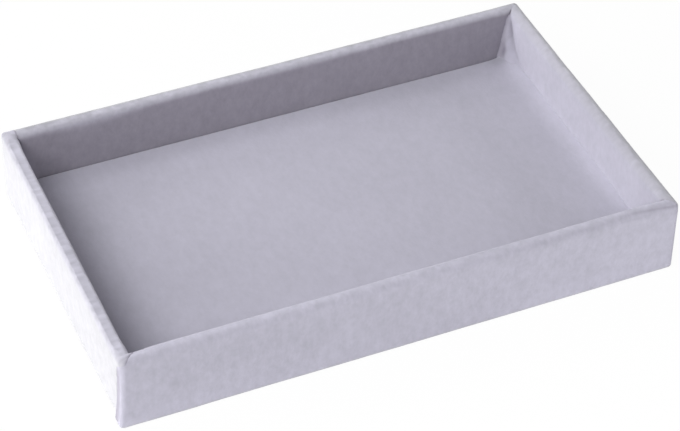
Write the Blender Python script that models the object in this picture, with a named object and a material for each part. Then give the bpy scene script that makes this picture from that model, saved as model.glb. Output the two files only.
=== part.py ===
"""Shallow open jewelry tray: a comb-jointed MDF frame wrapped in velvet, with a velvet-covered floor pad.

Metres, +Z up. The origin is under the middle of the tray, on the surface that it stands on.
+X runs along the long side, and -Y is the front.
"""

import math

import bmesh
import bpy
from mathutils import Vector

# Overall size of the finished tray, over the velvet
TRAY_LENGTH = 0.240
TRAY_DEPTH = 0.150
TRAY_HEIGHT = 0.035

# Boards of the frame, and how far their edges are sanded round
WALL_BOARD = 0.004
BASE_BOARD = 0.003
REBATE_DEPTH = 0.002
FINGERS = 5
JOINT_GAP = 0.0002
CORNER_EASE = 0.0013
RIM_EASE = 0.0009

# Velvet strips round the walls: the bends are the radii inside the cloth
VELVET = 0.0007
GLUE_LINE = 0.0002
FOOT_BEND = 0.0005
LINING_BEND = 0.0003
INNER_CORNER_RADIUS = 0.0006
TURN_UNDER = 0.012
LINING_TURN = 0.010
RETURN_LENGTH = 0.0025
SEAM_GAP = 0.0002

# Floor pad, pressed in between the walls
PAD_BOARD = 0.0025
PAD_FIT = 0.0002
PAD_BEND = 0.0003
PAD_TURN_UNDER = 0.013

# Sheet that covers the underside
BASE_SHEET = 0.0005
BASE_SHEET_INSET = 0.0025
BASE_SHEET_CORNER = 0.003

# Facets of a quarter round, and the angle past which an edge shows as crisp
ARC_STEPS = 4
CORNER_STEPS = 4
SHARP_ANGLE = math.radians(35)

# Heights, worked out from the layers under and over each other
TURN_UNDER_LOW = BASE_SHEET + GLUE_LINE
FRAME_LOW = TURN_UNDER_LOW + VELVET + GLUE_LINE
FRAME_HIGH = TRAY_HEIGHT - VELVET - GLUE_LINE
BASE_HIGH = FRAME_LOW + BASE_BOARD
LINING_HIGH = BASE_HIGH + GLUE_LINE + VELVET
PAD_LOW = LINING_HIGH + GLUE_LINE
PAD_BOARD_LOW = PAD_LOW + VELVET + GLUE_LINE
PAD_BOARD_HIGH = PAD_BOARD_LOW + PAD_BOARD
PAD_HIGH = PAD_BOARD_HIGH + GLUE_LINE + VELVET

# How far the cutters reach past what they cut
REACH = WALL_BOARD / 2

# Insets from the outside of the tray
SKIN = VELVET + GLUE_LINE
WALL = SKIN + WALL_BOARD + SKIN
HALF_LENGTH = TRAY_LENGTH / 2
HALF_DEPTH = TRAY_DEPTH / 2
FRAME_HALF_LENGTH = HALF_LENGTH - SKIN
FRAME_HALF_DEPTH = HALF_DEPTH - SKIN

# Radii on the velvet's face, over the eased boards
CORNER_RADIUS = CORNER_EASE + SKIN
RIM_RADIUS = RIM_EASE + SKIN
FOOT_RADIUS = FOOT_BEND + VELVET
PAD_EDGE_RADIUS = PAD_BEND + VELVET

# Colours: linear RGB
VELVET_COLOUR = (0.47, 0.45, 0.54)
MDF_COLOUR = (0.45, 0.31, 0.19)
GREYBOARD_COLOUR = (0.36, 0.35, 0.33)
BASE_SHEET_COLOUR = (0.40, 0.38, 0.46)


def clear_scene():
    for obj in list(bpy.data.objects):
        bpy.data.objects.remove(obj, do_unlink=True)


def new_collection(name):
    collection = bpy.data.collections.new(name)
    bpy.context.scene.collection.children.link(collection)
    return collection


def new_material(name, colour, roughness):
    material = bpy.data.materials.new(name)
    material.use_nodes = True
    shader = material.node_tree.nodes["Principled BSDF"]
    shader.inputs["Base Color"].default_value = (*colour, 1)
    shader.inputs["Roughness"].default_value = roughness
    shader.inputs["Metallic"].default_value = 0
    material.diffuse_color = (*colour, 1)
    return material


def new_object(name, mesh, collection):
    obj = bpy.data.objects.new(name, mesh)
    collection.objects.link(obj)
    return obj


def finish_piece(obj, material):
    """Gives a piece its material, with round stretches smooth and edges crisp."""
    obj.data.materials.clear()
    obj.data.materials.append(material)
    obj.data.shade_smooth()
    obj.data.set_sharp_from_angle(angle=SHARP_ANGLE)
    return obj


def finish_cutter(obj):
    obj.hide_render = True
    obj.display_type = "WIRE"
    return obj


def mesh_from(bm, name):
    bmesh.ops.recalc_face_normals(bm, faces=bm.faces)
    mesh = bpy.data.meshes.new(name)
    bm.to_mesh(mesh)
    bm.free()
    return mesh


def box_bmesh(low, high):
    """A box from its lowest corner to its highest."""
    bm = bmesh.new()
    bmesh.ops.create_cube(bm, size=1)
    low = Vector(low)
    size = Vector(high) - low
    for vert in bm.verts:
        vert.co = Vector(low[i] + (vert.co[i] + 0.5) * size[i] for i in range(3))
    return bm


def box_cutter(name, low, high, collection):
    return finish_cutter(new_object(name, mesh_from(box_bmesh(low, high), name), collection))


def prism_cutter(name, outline, low, high, collection):
    """A flat outline in plan, carried straight up from low to high."""
    bm = bmesh.new()
    face = bm.faces.new([bm.verts.new((x, y, low)) for x, y in outline])
    raised = bmesh.ops.extrude_face_region(bm, geom=[face])["geom"]
    for vert in (part for part in raised if isinstance(part, bmesh.types.BMVert)):
        vert.co.z = high
    return finish_cutter(new_object(name, mesh_from(bm, name), collection))


def boolean(obj, operation, cutter):
    modifier = obj.modifiers.new(cutter.name, "BOOLEAN")
    modifier.operation = operation
    modifier.object = cutter
    modifier.solver = "EXACT"


def middle_of(edge):
    return (edge.verts[0].co + edge.verts[1].co) / 2


def is_upright(edge):
    run = edge.verts[1].co - edge.verts[0].co
    return abs(run.z) > run.xy.length


def round_edges(bm, edges, radius, steps):
    bmesh.ops.bevel(bm, geom=edges, offset=radius, segments=steps, profile=0.5, affect="EDGES")


def arc(centre, radius, start, end):
    """Points of an arc in a section, each with the direction that points away from its centre.

    Angles are in degrees, from the inset axis towards the height axis.
    """
    points = []
    for step in range(ARC_STEPS + 1):
        angle = math.radians(start + (end - start) * step / ARC_STEPS)
        out = Vector((math.cos(angle), math.sin(angle)))
        points.append((Vector(centre) + radius * out, out))
    return points


def hollow(points):
    """The same points where the cloth lies inside the bend, so that its face looks to the centre."""
    return [(point, -out) for point, out in points]


def cloth_section(face):
    """The closed section of a cloth: its face, then its back one thickness behind it."""
    front = [point for point, _ in face]
    back = [point - VELVET * out for point, out in reversed(face)]
    return front + back


def rounded_loop(bm, inset, height):
    """A rectangle with round corners, inset from the outside of the tray."""
    radius = max(CORNER_RADIUS - inset, INNER_CORNER_RADIUS)
    side_x = HALF_LENGTH - inset - radius
    side_y = HALF_DEPTH - inset - radius
    loop = []
    for quarter, (sign_x, sign_y) in enumerate(((1, 1), (-1, 1), (-1, -1), (1, -1))):
        for step in range(CORNER_STEPS + 1):
            angle = math.radians(90 * (quarter + step / CORNER_STEPS))
            x = sign_x * side_x + radius * math.cos(angle)
            y = sign_y * side_y + radius * math.sin(angle)
            loop.append(bm.verts.new((x, y, height)))
    return loop


def carry_round(section, is_ring):
    """Carries a section round the tray's outline, as loops joined by faces.

    A ring's last loop joins its first. Otherwise the first and last loops are filled.
    """
    bm = bmesh.new()
    loops = [rounded_loop(bm, inset, height) for inset, height in section]
    joined = list(zip(loops, loops[1:]))
    if is_ring:
        joined.append((loops[-1], loops[0]))
    else:
        bm.faces.new(loops[0])
        bm.faces.new(reversed(loops[-1]))
    for lower, upper in joined:
        for i, vert in enumerate(lower):
            after = (i + 1) % len(lower)
            bm.faces.new((vert, lower[after], upper[after], upper[i]))
    return bm


def wall_board(name, along_x, side, collection, material):
    """A wall board, its outer corners and top edges eased as the velvet over them needs.

    side is -1 for the front or left board and 1 for the back or right one.
    """
    half = (FRAME_HALF_LENGTH, FRAME_HALF_DEPTH)
    across = 1 if along_x else 0
    low = [-half[0], -half[1], FRAME_LOW]
    high = [half[0], half[1], FRAME_HIGH]
    if side < 0:
        high[across] = low[across] + WALL_BOARD
    else:
        low[across] = high[across] - WALL_BOARD
    bm = box_bmesh(low, high)
    centre = side * (half[across] - WALL_BOARD / 2)
    corners = [
        edge
        for edge in bm.edges
        if is_upright(edge) and side * middle_of(edge)[across] > side * centre
    ]
    round_edges(bm, corners, CORNER_EASE, CORNER_STEPS)
    top = [edge for edge in bm.edges if middle_of(edge).z > FRAME_HIGH - WALL_BOARD / 2]
    round_edges(bm, top, RIM_EASE, ARC_STEPS)
    return finish_piece(new_object(name, mesh_from(bm, name), collection), material)


def cut_fingers(board, along_x, cutters):
    """Cuts the comb joint's notches at both ends of a board.

    The long boards keep the even fingers, the lowest among them, and the short boards the odd ones.
    """
    pitch = (FRAME_HIGH - FRAME_LOW) / FINGERS
    along = 0 if along_x else 1
    half = (FRAME_HALF_LENGTH, FRAME_HALF_DEPTH)
    for finger in range(FINGERS):
        if (finger % 2 == 0) == along_x:
            continue
        low_z = FRAME_LOW + finger * pitch - JOINT_GAP / 2
        high_z = low_z + pitch + JOINT_GAP
        if finger == 0:
            low_z -= REACH
        if finger == FINGERS - 1:
            high_z += REACH
        for end in (-1, 1):
            inner = end * (half[along] - WALL_BOARD - JOINT_GAP)
            outer = end * (half[along] + REACH)
            low = [-HALF_LENGTH - REACH, -HALF_DEPTH - REACH, low_z]
            high = [HALF_LENGTH + REACH, HALF_DEPTH + REACH, high_z]
            low[along] = min(inner, outer)
            high[along] = max(inner, outer)
            name = f"notch_{board.name}_{finger}_{'low' if end < 0 else 'high'}"
            boolean(board, "DIFFERENCE", box_cutter(name, low, high, cutters))


def build_frame(parts, cutters, mdf):
    """Four comb-jointed wall boards round a base board that sits in their rebate."""
    rebate_x = FRAME_HALF_LENGTH - WALL_BOARD + REBATE_DEPTH
    rebate_y = FRAME_HALF_DEPTH - WALL_BOARD + REBATE_DEPTH
    rebate = box_cutter(
        "rebate",
        (-rebate_x, -rebate_y, FRAME_LOW - REACH),
        (rebate_x, rebate_y, BASE_HIGH + JOINT_GAP),
        cutters,
    )
    for name, along_x, side in (
        ("wall_front", True, -1),
        ("wall_back", True, 1),
        ("wall_left", False, -1),
        ("wall_right", False, 1),
    ):
        board = wall_board(name, along_x, side, parts, mdf)
        cut_fingers(board, along_x, cutters)
        boolean(board, "DIFFERENCE", rebate)
    base_x = rebate_x - JOINT_GAP
    base_y = rebate_y - JOINT_GAP
    bm = box_bmesh((-base_x, -base_y, FRAME_LOW), (base_x, base_y, BASE_HIGH))
    finish_piece(new_object("base_board", mesh_from(bm, "base_board"), parts), mdf)


def wrap_section():
    """The wrap's section, from its edge under the base, up the outside, over the rim and down inside."""
    face = [(Vector((TURN_UNDER, TURN_UNDER_LOW)), Vector((0, -1)))]
    face += arc((FOOT_RADIUS, TURN_UNDER_LOW + FOOT_RADIUS), FOOT_RADIUS, 270, 180)
    face += arc((RIM_RADIUS, TRAY_HEIGHT - RIM_RADIUS), RIM_RADIUS, 180, 90)
    face += arc((WALL - RIM_RADIUS, TRAY_HEIGHT - RIM_RADIUS), RIM_RADIUS, 90, 0)
    face += hollow(arc((WALL + LINING_BEND, LINING_HIGH + LINING_BEND), LINING_BEND, 180, 270))
    face.append((Vector((WALL + LINING_TURN, LINING_HIGH)), Vector((0, 1))))
    return cloth_section(face)


def corner_point(sign_x, sign_y, inset):
    return sign_x * (HALF_LENGTH - inset), sign_y * (HALF_DEPTH - inset)


def strip_outline(side):
    """A strip's share of the tray in plan, mitred at its corners and half a seam short of each mitre."""
    deep = WALL + LINING_TURN + TURN_UNDER
    shift = SEAM_GAP / math.sqrt(2)
    corners = {
        "front": ((-1, -1), (1, -1)),
        "right": ((1, -1), (1, 1)),
        "back": ((1, 1), (-1, 1)),
        "left": ((-1, 1), (-1, -1)),
    }[side]
    axis = 0 if side in ("front", "back") else 1
    outline = []
    for (signs, inset) in (
        (corners[0], -REACH),
        (corners[1], -REACH),
        (corners[1], deep),
        (corners[0], deep),
    ):
        point = list(corner_point(*signs, inset))
        point[axis] -= signs[axis] * shift
        outline.append(point)
    return outline


def corner_patch(name, signs, reach_x, reach_y, low_z, high_z, grow, cutters):
    """A block at one corner of the tray that moves the wrap there from one strip to another."""
    x, y = corner_point(*signs, -REACH)
    inner_x, inner_y = corner_point(*signs, 0)
    inner_x -= signs[0] * (reach_x + grow)
    inner_y -= signs[1] * (reach_y + grow)
    low = (min(x, inner_x), min(y, inner_y), low_z - grow)
    high = (max(x, inner_x), max(y, inner_y), high_z + grow)
    return box_cutter(name, low, high, cutters)


def build_wraps(parts, cutters, velvet):
    """Four velvet strips, cut from one section carried round the frame.

    The front and back strips return round the corners onto the short walls. At the back left corner
    the left strip runs straight through instead, so its seam crosses the rim in line with the wall.
    """
    rim_low = TRAY_HEIGHT - RIM_RADIUS - SEAM_GAP
    middle = WALL / 2
    returns = (RETURN_LENGTH, FRAME_LOW - GLUE_LINE / 2, rim_low)
    patches = (
        ("return_front_left", "front", "left", (-1, -1), middle, *returns),
        ("return_front_right", "front", "right", (1, -1), middle, *returns),
        ("return_back_right", "back", "right", (1, 1), middle, *returns),
        ("corner_back_left", "left", "back", (-1, 1), WALL, WALL, -2 * REACH, TRAY_HEIGHT + 2 * REACH),
    )
    ring = mesh_from(carry_round(wrap_section(), True), "velvet_ring")
    for side in ("front", "back", "left", "right"):
        region = prism_cutter(
            f"region_{side}", strip_outline(side), -REACH, TRAY_HEIGHT + REACH, cutters
        )
        for name, giver, taker, signs, reach_x, reach_y, low_z, high_z in patches:
            if side == giver:
                patch = corner_patch(name, signs, reach_x, reach_y, low_z, high_z, 0, cutters)
                boolean(region, "UNION", patch)
            if side == taker:
                patch = corner_patch(
                    f"{name}_seam", signs, reach_x, reach_y, low_z, high_z, SEAM_GAP, cutters
                )
                boolean(region, "DIFFERENCE", patch)
        wrap = new_object(f"wrap_{side}", ring.copy(), parts)
        boolean(wrap, "INTERSECT", region)
        finish_piece(wrap, velvet)


def build_pad(parts, cutters, velvet, greyboard):
    """The floor pad: a greyboard panel and the velvet wrapped over it and turned under."""
    inset = WALL + PAD_FIT
    bend = inset + PAD_EDGE_RADIUS
    face = arc((bend, PAD_HIGH - PAD_EDGE_RADIUS), PAD_EDGE_RADIUS, 90, 180)
    face += arc((bend, PAD_LOW + PAD_EDGE_RADIUS), PAD_EDGE_RADIUS, 180, 270)
    face.append((Vector((inset + PAD_TURN_UNDER, PAD_LOW)), Vector((0, -1))))
    cover = mesh_from(carry_round(cloth_section(face), False), "pad_cover")
    cover = finish_piece(new_object("pad_cover", cover, parts), velvet)
    cut_pad_mitres(cover, inset, cutters)
    board_inset = inset + SKIN
    x, y = HALF_LENGTH - board_inset, HALF_DEPTH - board_inset
    bm = box_bmesh((-x, -y, PAD_BOARD_LOW), (x, y, PAD_BOARD_HIGH))
    round_edges(bm, [edge for edge in bm.edges if is_upright(edge)], INNER_CORNER_RADIUS, CORNER_STEPS)
    board = new_object("pad_board", mesh_from(bm, "pad_board"), parts)
    finish_piece(board, greyboard)


def cut_pad_mitres(cover, inset, cutters):
    """Slits the pad cover's turn-under along the diagonal of each corner, where its flaps meet."""
    start = inset + PAD_EDGE_RADIUS + SKIN
    end = inset + PAD_TURN_UNDER + REACH
    shift = SEAM_GAP / math.sqrt(2)
    for number, signs in enumerate(((-1, -1), (1, -1), (1, 1), (-1, 1))):
        near = corner_point(*signs, start)
        far = corner_point(*signs, end)
        outline = (
            (near[0] - shift, near[1]),
            (near[0] + shift, near[1]),
            (far[0] + shift, far[1]),
            (far[0] - shift, far[1]),
        )
        slit = prism_cutter(
            f"pad_mitre_{number}", outline, PAD_LOW - REACH, PAD_LOW + VELVET + GLUE_LINE / 2, cutters
        )
        boolean(cover, "DIFFERENCE", slit)


def build_base_sheet(parts, material):
    """The thin sheet over the underside, short of the tray's edge all round."""
    x, y = HALF_LENGTH - BASE_SHEET_INSET, HALF_DEPTH - BASE_SHEET_INSET
    bm = box_bmesh((-x, -y, 0), (x, y, BASE_SHEET))
    round_edges(bm, [edge for edge in bm.edges if is_upright(edge)], BASE_SHEET_CORNER, CORNER_STEPS)
    finish_piece(new_object("base_sheet", mesh_from(bm, "base_sheet"), parts), material)


def main():
    clear_scene()
    parts = new_collection("jewelry_tray")
    cutters = new_collection("cutters")
    velvet = new_material("velvet", VELVET_COLOUR, 0.9)
    mdf = new_material("mdf", MDF_COLOUR, 0.7)
    greyboard = new_material("greyboard", GREYBOARD_COLOUR, 0.8)
    base_sheet = new_material("base_sheet", BASE_SHEET_COLOUR, 0.95)
    build_frame(parts, cutters, mdf)
    build_wraps(parts, cutters, velvet)
    build_pad(parts, cutters, velvet, greyboard)
    build_base_sheet(parts, base_sheet)


main()
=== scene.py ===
import math

import bmesh
import bpy
import numpy as np
from mathutils import Matrix, Vector


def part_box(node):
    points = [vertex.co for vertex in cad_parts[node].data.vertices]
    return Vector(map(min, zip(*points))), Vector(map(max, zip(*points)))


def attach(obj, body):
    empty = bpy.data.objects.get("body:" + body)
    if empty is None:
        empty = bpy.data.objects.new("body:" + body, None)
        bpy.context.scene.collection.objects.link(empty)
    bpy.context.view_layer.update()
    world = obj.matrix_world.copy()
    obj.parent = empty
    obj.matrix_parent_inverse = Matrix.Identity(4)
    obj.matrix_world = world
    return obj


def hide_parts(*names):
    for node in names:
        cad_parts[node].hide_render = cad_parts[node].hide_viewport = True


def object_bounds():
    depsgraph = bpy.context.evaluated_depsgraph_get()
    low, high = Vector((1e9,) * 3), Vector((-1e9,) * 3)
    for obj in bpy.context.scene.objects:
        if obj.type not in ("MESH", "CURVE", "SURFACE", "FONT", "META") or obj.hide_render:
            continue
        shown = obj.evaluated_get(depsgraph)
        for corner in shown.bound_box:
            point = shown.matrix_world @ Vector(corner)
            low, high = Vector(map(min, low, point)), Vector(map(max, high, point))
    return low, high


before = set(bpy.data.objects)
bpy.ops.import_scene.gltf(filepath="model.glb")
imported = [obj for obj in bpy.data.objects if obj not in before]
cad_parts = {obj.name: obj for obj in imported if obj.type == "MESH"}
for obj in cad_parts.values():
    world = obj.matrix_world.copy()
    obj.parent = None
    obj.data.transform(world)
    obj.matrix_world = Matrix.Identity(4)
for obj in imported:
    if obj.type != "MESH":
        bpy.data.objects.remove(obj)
cadLow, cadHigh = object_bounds()
print("frame loaded:", len(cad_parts), "nodes")

mm = 0.001
hair = 1e-7  # a length or a share that counts as nothing


# Sizes that every piece shares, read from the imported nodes

boardLow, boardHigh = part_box("wall_front")
padLow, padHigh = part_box("pad_cover")
baseHigh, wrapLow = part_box("base_board")[1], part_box("wrap_front")[0]
skin = boardLow.y - cadLow.y  # velvet and the glue under it
tray = {
    "halfLength": cadHigh.x,
    "halfDepth": cadHigh.y,
    "top": cadHigh.z,
    "wall": boardHigh.y - boardLow.y + 2 * skin,  # board and the velvet on both its faces
    "foot": wrapLow.z,  # underside of the velvet that is turned under
    "liningFloor": baseHigh.z + skin,  # velvet glued to the base board, under the pad
    "padTop": padHigh.z,
    "padInset": padLow.x - cadLow.x,
}


# Small helpers for arrays

# A value that eases from 0 at low to 1 at high: 3t^2 - 2t^3 of the share t of the way
def easeBetween(value, low, high):
    share = np.clip((value - low) / (high - low), 0, 1)
    return share * share * (3 - 2 * share)


# A bell of height 1 round a place: exp(-((value - at) / width)^2)
def bell(value, at, width):
    return np.exp(-(((value - at) / width) ** 2))


# Smooth noise from -1 to 1: random heights on a square lattice, eased from each lattice point to the next
def softNoise(x, y, size, seed):
    across, onward = 97, 89  # lattice points before the noise repeats
    lattice = np.random.default_rng(seed).uniform(-1, 1, (across, onward))
    columnAt, rowAt = x / size, y / size
    column, row = np.floor(columnAt).astype(int), np.floor(rowAt).astype(int)
    easeX = easeBetween(columnAt - column, 0, 1)
    easeY = easeBetween(rowAt - row, 0, 1)
    column, row = column % across, row % onward
    nextColumn, nextRow = (column + 1) % across, (row + 1) % onward
    near = lattice[column, row] * (1 - easeX) + lattice[nextColumn, row] * easeX
    far = lattice[column, nextRow] * (1 - easeX) + lattice[nextColumn, nextRow] * easeX
    return near * (1 - easeY) + far * easeY


# The four-sided faces of a grid of numbered points
def gridFaces(number):
    return np.stack([number[:-1, :-1], number[:-1, 1:], number[1:, 1:], number[1:, :-1]], -1).reshape(-1, 4)


# The faces that join two rows of points, number by number
def bandFaces(first, second):
    return np.stack([first[:-1], first[1:], second[1:], second[:-1]], -1)


# Puts arrays of points and four-sided faces into a mesh object, with a cloth UV and a tint for each point
def meshFromArrays(name, points, faces, uv, tint=None):
    mesh = bpy.data.meshes.new(name)
    mesh.vertices.add(len(points))
    mesh.vertices.foreach_set("co", points.astype(np.float32).ravel())
    mesh.loops.add(faces.size)
    mesh.loops.foreach_set("vertex_index", faces.astype(np.int32).ravel())
    mesh.polygons.add(len(faces))
    mesh.polygons.foreach_set("loop_start", np.arange(0, faces.size, 4, dtype=np.int32))
    mesh.polygons.foreach_set("use_smooth", np.ones(len(faces), bool))
    mesh.update(calc_edges=True)
    layer = mesh.uv_layers.new(name="clothUv")
    layer.data.foreach_set("uv", uv[faces.ravel()].astype(np.float32).ravel())
    if tint is not None:
        attribute = mesh.attributes.new("pileAndPaintedLightTint", "FLOAT_VECTOR", "POINT")
        attribute.data.foreach_set("vector", tint.astype(np.float32).ravel())
    piece = bpy.data.objects.new(name, mesh)
    bpy.context.scene.collection.objects.link(piece)
    return piece


# Cloth of two layers from one or more grids. Each has the points of its front and back, its UV, the tint of
# both layers and a function that picks its open edges. Its faces are the front, the back turned over, and a
# band along each open edge.
def clothFromGrids(name, grids):
    points, faces, uvs, tints, first = [], [], [], [], 0
    for layers, uv, tint, openEdges in grids:
        count = uv[..., 0].size
        number = np.arange(count).reshape(uv.shape[:2]) + first
        faces += [gridFaces(number), gridFaces(number + count)[:, ::-1]]
        faces += [bandFaces(edge, edge + count) for edge in openEdges(number)]
        points.append(layers.reshape(-1, 3))
        uvs += [uv.reshape(-1, 2)] * 2
        tints.append(tint.reshape(-1, 3))
        first += 2 * count
    return meshFromArrays(name, *(np.concatenate(parts) for parts in (points, faces, uvs, tints)))


# The four edges of a grid, each taken the way that makes its band face outwards
def allEdges(number):
    return number[0, ::-1], number[-1], number[:, 0], number[::-1, -1]


# Welds points that coincide and drops the faces that this closes up
def weld(piece):
    distance = 0.002 * mm
    work = bmesh.new()
    work.from_mesh(piece.data)
    bmesh.ops.remove_doubles(work, verts=work.verts, dist=distance)
    bmesh.ops.dissolve_degenerate(work, edges=work.edges, dist=distance / 2)
    bmesh.ops.recalc_face_normals(work, faces=work.faces)
    work.to_mesh(piece.data)
    work.free()


# Small helpers for materials

# An empty node group: the label, kind and plain value of each input, and the labels of the outputs
def newGroup(name, inputs, outputs):
    group = bpy.data.node_groups.new(name, "ShaderNodeTree")
    for label, kind, value in inputs:
        socket = group.interface.new_socket(label, in_out="INPUT", socket_type="NodeSocket" + kind)
        if value is not None:
            socket.default_value = value
    for label in outputs:
        group.interface.new_socket(label, in_out="OUTPUT", socket_type="NodeSocketFloat")
    return group


# A new material, its tree and its shader
def newMaterial(name, colour):
    material = bpy.data.materials.new(name)
    material.use_nodes = True
    material.diffuse_color = (*colour, 1)
    return material, material.node_tree, material.node_tree.nodes["Principled BSDF"]


# A socket is linked to the input, and anything else becomes the input's own value
def setInputs(tree, node, inputs):
    for label, value in inputs.items():
        if isinstance(value, bpy.types.NodeSocket):
            tree.links.new(value, node.inputs[label])
        else:
            node.inputs[label].default_value = value


# A node with its settings and inputs. Returns its outputs.
def addNode(tree, kind, settings=None, inputs=None):
    node = tree.nodes.new(kind)
    for label, value in (settings or {}).items():
        setattr(node, label, value)
    setInputs(tree, node, inputs or {})
    return node.outputs


# One arithmetic step between sockets or numbers
def calculate(tree, operation, *terms, clamp=False):
    settings = {"operation": operation, "use_clamp": clamp}
    return addNode(tree, "ShaderNodeMath", settings, dict(enumerate(terms)))[0]


# Noise centred on zero: octaves of a cloud pattern, minus its middle value
def centredNoise(tree, vector, scale, octaves, roughness=0.5):
    inputs = {"Vector": vector, "Scale": scale, "Detail": octaves, "Roughness": roughness}
    noise = addNode(tree, "ShaderNodeTexNoise", {"noise_dimensions": "3D"}, inputs)
    return calculate(tree, "SUBTRACT", noise["Fac"], 0.5)


# The noise in the pile, from single tips to broad sweeps: scale per metre, octaves, roughness and weight
pileNoise = {
    "tips": (5200, 1, 0.5, 0.35),
    "tufts": (850, 2, 0.5, 0.46),
    "clumps": (330, 2, 0.5, 0.82),
    "patches": (95, 2, 0.55, 0.7),
    "sweeps": (28, 1, 0.5, 0.5),
}
pileSettings = {
    "drawnOut": (1.0, 0.6, 1.0),  # the pattern is longer the way that the pile lies
    "clumpHeight": 0.5,
}


# Short pile. The shade is the weighted sum of tips, tufts and clumps, times the input Tufts, plus that of
# patches and sweeps, times Patches. The height is the sum of tips, tufts and clumps, and the fuzz is the tips.
def makePileGroup():
    s = pileSettings
    inputs = [("Cloth", "Vector", None), ("Patches", "Float", 1.0), ("Tufts", "Float", 1.0)]
    group = newGroup("shortPile", inputs, ("Shade", "Height", "Fuzz"))
    inlet = addNode(group, "NodeGroupInput")
    lying = addNode(group, "ShaderNodeMapping", inputs={"Vector": inlet["Cloth"], "Scale": s["drawnOut"]})[0]
    noise = {key: centredNoise(group, lying, *values[:3]) for key, values in pileNoise.items()}

    # One kind of noise times its weight, plus the rest where there is any
    def weighted(key, *rest):
        return calculate(group, "MULTIPLY_ADD" if rest else "MULTIPLY", noise[key], pileNoise[key][3], *rest)

    fine = weighted("tips", weighted("tufts"))
    broad = weighted("patches", weighted("sweeps"))
    tuftShade = calculate(group, "MULTIPLY", weighted("clumps", fine), inlet["Tufts"])
    patchShade = calculate(group, "MULTIPLY", broad, inlet["Patches"])
    shade = calculate(group, "ADD", tuftShade, patchShade)
    height = calculate(group, "MULTIPLY_ADD", noise["clumps"], s["clumpHeight"], fine)
    addNode(group, "NodeGroupOutput", inputs={"Shade": shade, "Height": height, "Fuzz": noise["tips"]})
    return group


pileGroup = makePileGroup()


# Velvet: each point of the cloth carries a tint for the way that its pile lies there and for the light and shade
# painted there
velvetSettings = {
    "colour": (0.462, 0.451, 0.527),
    # The next share is also what is left where shade is painted
    "darkerPileAndShade": (0.60, 0.574, 0.585),  # share of the colour left where the pile leans away
    # The colour that is left where shade is painted in seams and creases
    "paintedShadeColour": (0.62, 0.60, 0.62),
    "shadeRange": 0.16,
    "roughness": 0.92,
    "fuzzRange": 0.12,  # how far the fuzz changes the roughness
    "bump": {"Strength": 0.7, "Distance": 0.16 * mm},
    "plain": {
        "Metallic": 0,
        "Specular IOR Level": 0.12,
        "Diffuse Roughness": 0.6,
        "Sheen Weight": 0.22,
        "Sheen Roughness": 0.45,
        "Sheen Tint": (0.93, 0.92, 1.0, 1),
    },
}
lightness = (0.2126, 0.7152, 0.0722)  # share of red, green and blue in how light a colour looks


# The tint of each point: the share of the colour that leaning pile and painted shade leave, times the share
# that the painted shade in seams and creases leaves, times one plus the painted light and shade and the nap,
# and drawn by the edge share towards a grey of the same lightness
def tintOf(lean, paintedSeamShade, paintedLightAndNap, edge):
    s = velvetSettings
    colour = np.array(s["colour"])
    tint = 1 - lean[..., None] * (1 - np.array(s["darkerPileAndShade"]))
    tint = tint * (1 - paintedSeamShade[..., None] * (1 - np.array(s["paintedShadeColour"])))
    tint = tint * (1 + paintedLightAndNap[..., None])
    grey = (colour @ np.array(lightness)) / colour
    return tint * (1 + edge[..., None] * (grey - 1))


# Painted light and shade: each lightens or darkens the colour round its place, falling off as exp(-(distance /
# spread)^2)
def paintedLightAt(points, paintedLightAndNap):
    total = np.zeros(points.shape[:-1])
    for place, spread, lightGain in paintedLightAndNap:
        away = (points - np.array(place) * mm) / (np.array(spread) * mm)
        total = total + lightGain * np.exp(-(away**2).sum(-1))
    return total


# A velvet whose colour is the tint times the plain colour, times one plus the pile's shade within its range
def makeVelvet(name, patches, tufts):
    s = velvetSettings
    material, tree, shader = newMaterial(name, s["colour"])
    cloth = addNode(tree, "ShaderNodeUVMap", {"uv_map": "clothUv"})["UV"]
    inputs = {"Cloth": cloth, "Patches": patches, "Tufts": tufts}
    pile = addNode(tree, "ShaderNodeGroup", {"node_tree": pileGroup}, inputs)
    tint = addNode(tree, "ShaderNodeAttribute", {"attribute_name": "pileAndPaintedLightTint"})["Vector"]
    tinted = addNode(tree, "ShaderNodeVectorMath", {"operation": "MULTIPLY"}, {0: tint, 1: s["colour"]})[0]
    level = calculate(tree, "MULTIPLY_ADD", pile["Shade"], s["shadeRange"], 1.0)
    colour = addNode(tree, "ShaderNodeVectorMath", {"operation": "SCALE"}, {0: tinted, 3: level})[0]
    rough = calculate(tree, "MULTIPLY_ADD", pile["Fuzz"], s["fuzzRange"], s["roughness"], clamp=True)
    bump = addNode(tree, "ShaderNodeBump", inputs={**s["bump"], "Height": pile["Height"]})[0]
    setInputs(tree, shader, {"Base Color": colour, "Roughness": rough, "Normal": bump, **s["plain"]})
    return material


wrapVelvet = makeVelvet("wrap_velvet", patches=1.15, tufts=1.95)
calmVelvet = makeVelvet("calm_velvet", patches=0.9, tufts=1.4)
padVelvet = makeVelvet("pad_velvet", patches=0.8, tufts=1.05)
print("velvet materials made")


# Boards: pressed fibre with darker flecks
boardSettings = {
    "mdf": {
        "nodes": ("wall_front", "wall_back", "wall_left", "wall_right", "base_board"),
        "colour": (0.45, 0.31, 0.19),
        "fleck": (0.24, 0.15, 0.085),
        "scale": 900,
        "roughness": 0.75,
    },
    "greyboard": {
        "nodes": ("pad_board",),
        "colour": (0.36, 0.35, 0.33),
        "fleck": (0.17, 0.165, 0.16),
        "scale": 700,
        "roughness": 0.85,
    },
}
grainSettings = {
    "fibres": (1, 4, 0.65),  # times the board's scale, octaves and roughness
    "clouds": (1 / 12, 2, 0.5),
    "flecks": (0.3, 0.5, 1.6),  # plain share of the fleck colour, and the weights of clouds and fibres
    "roughRange": 0.25,
    "bump": {"Strength": 0.5, "Distance": 0.05 * mm},
}


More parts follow.
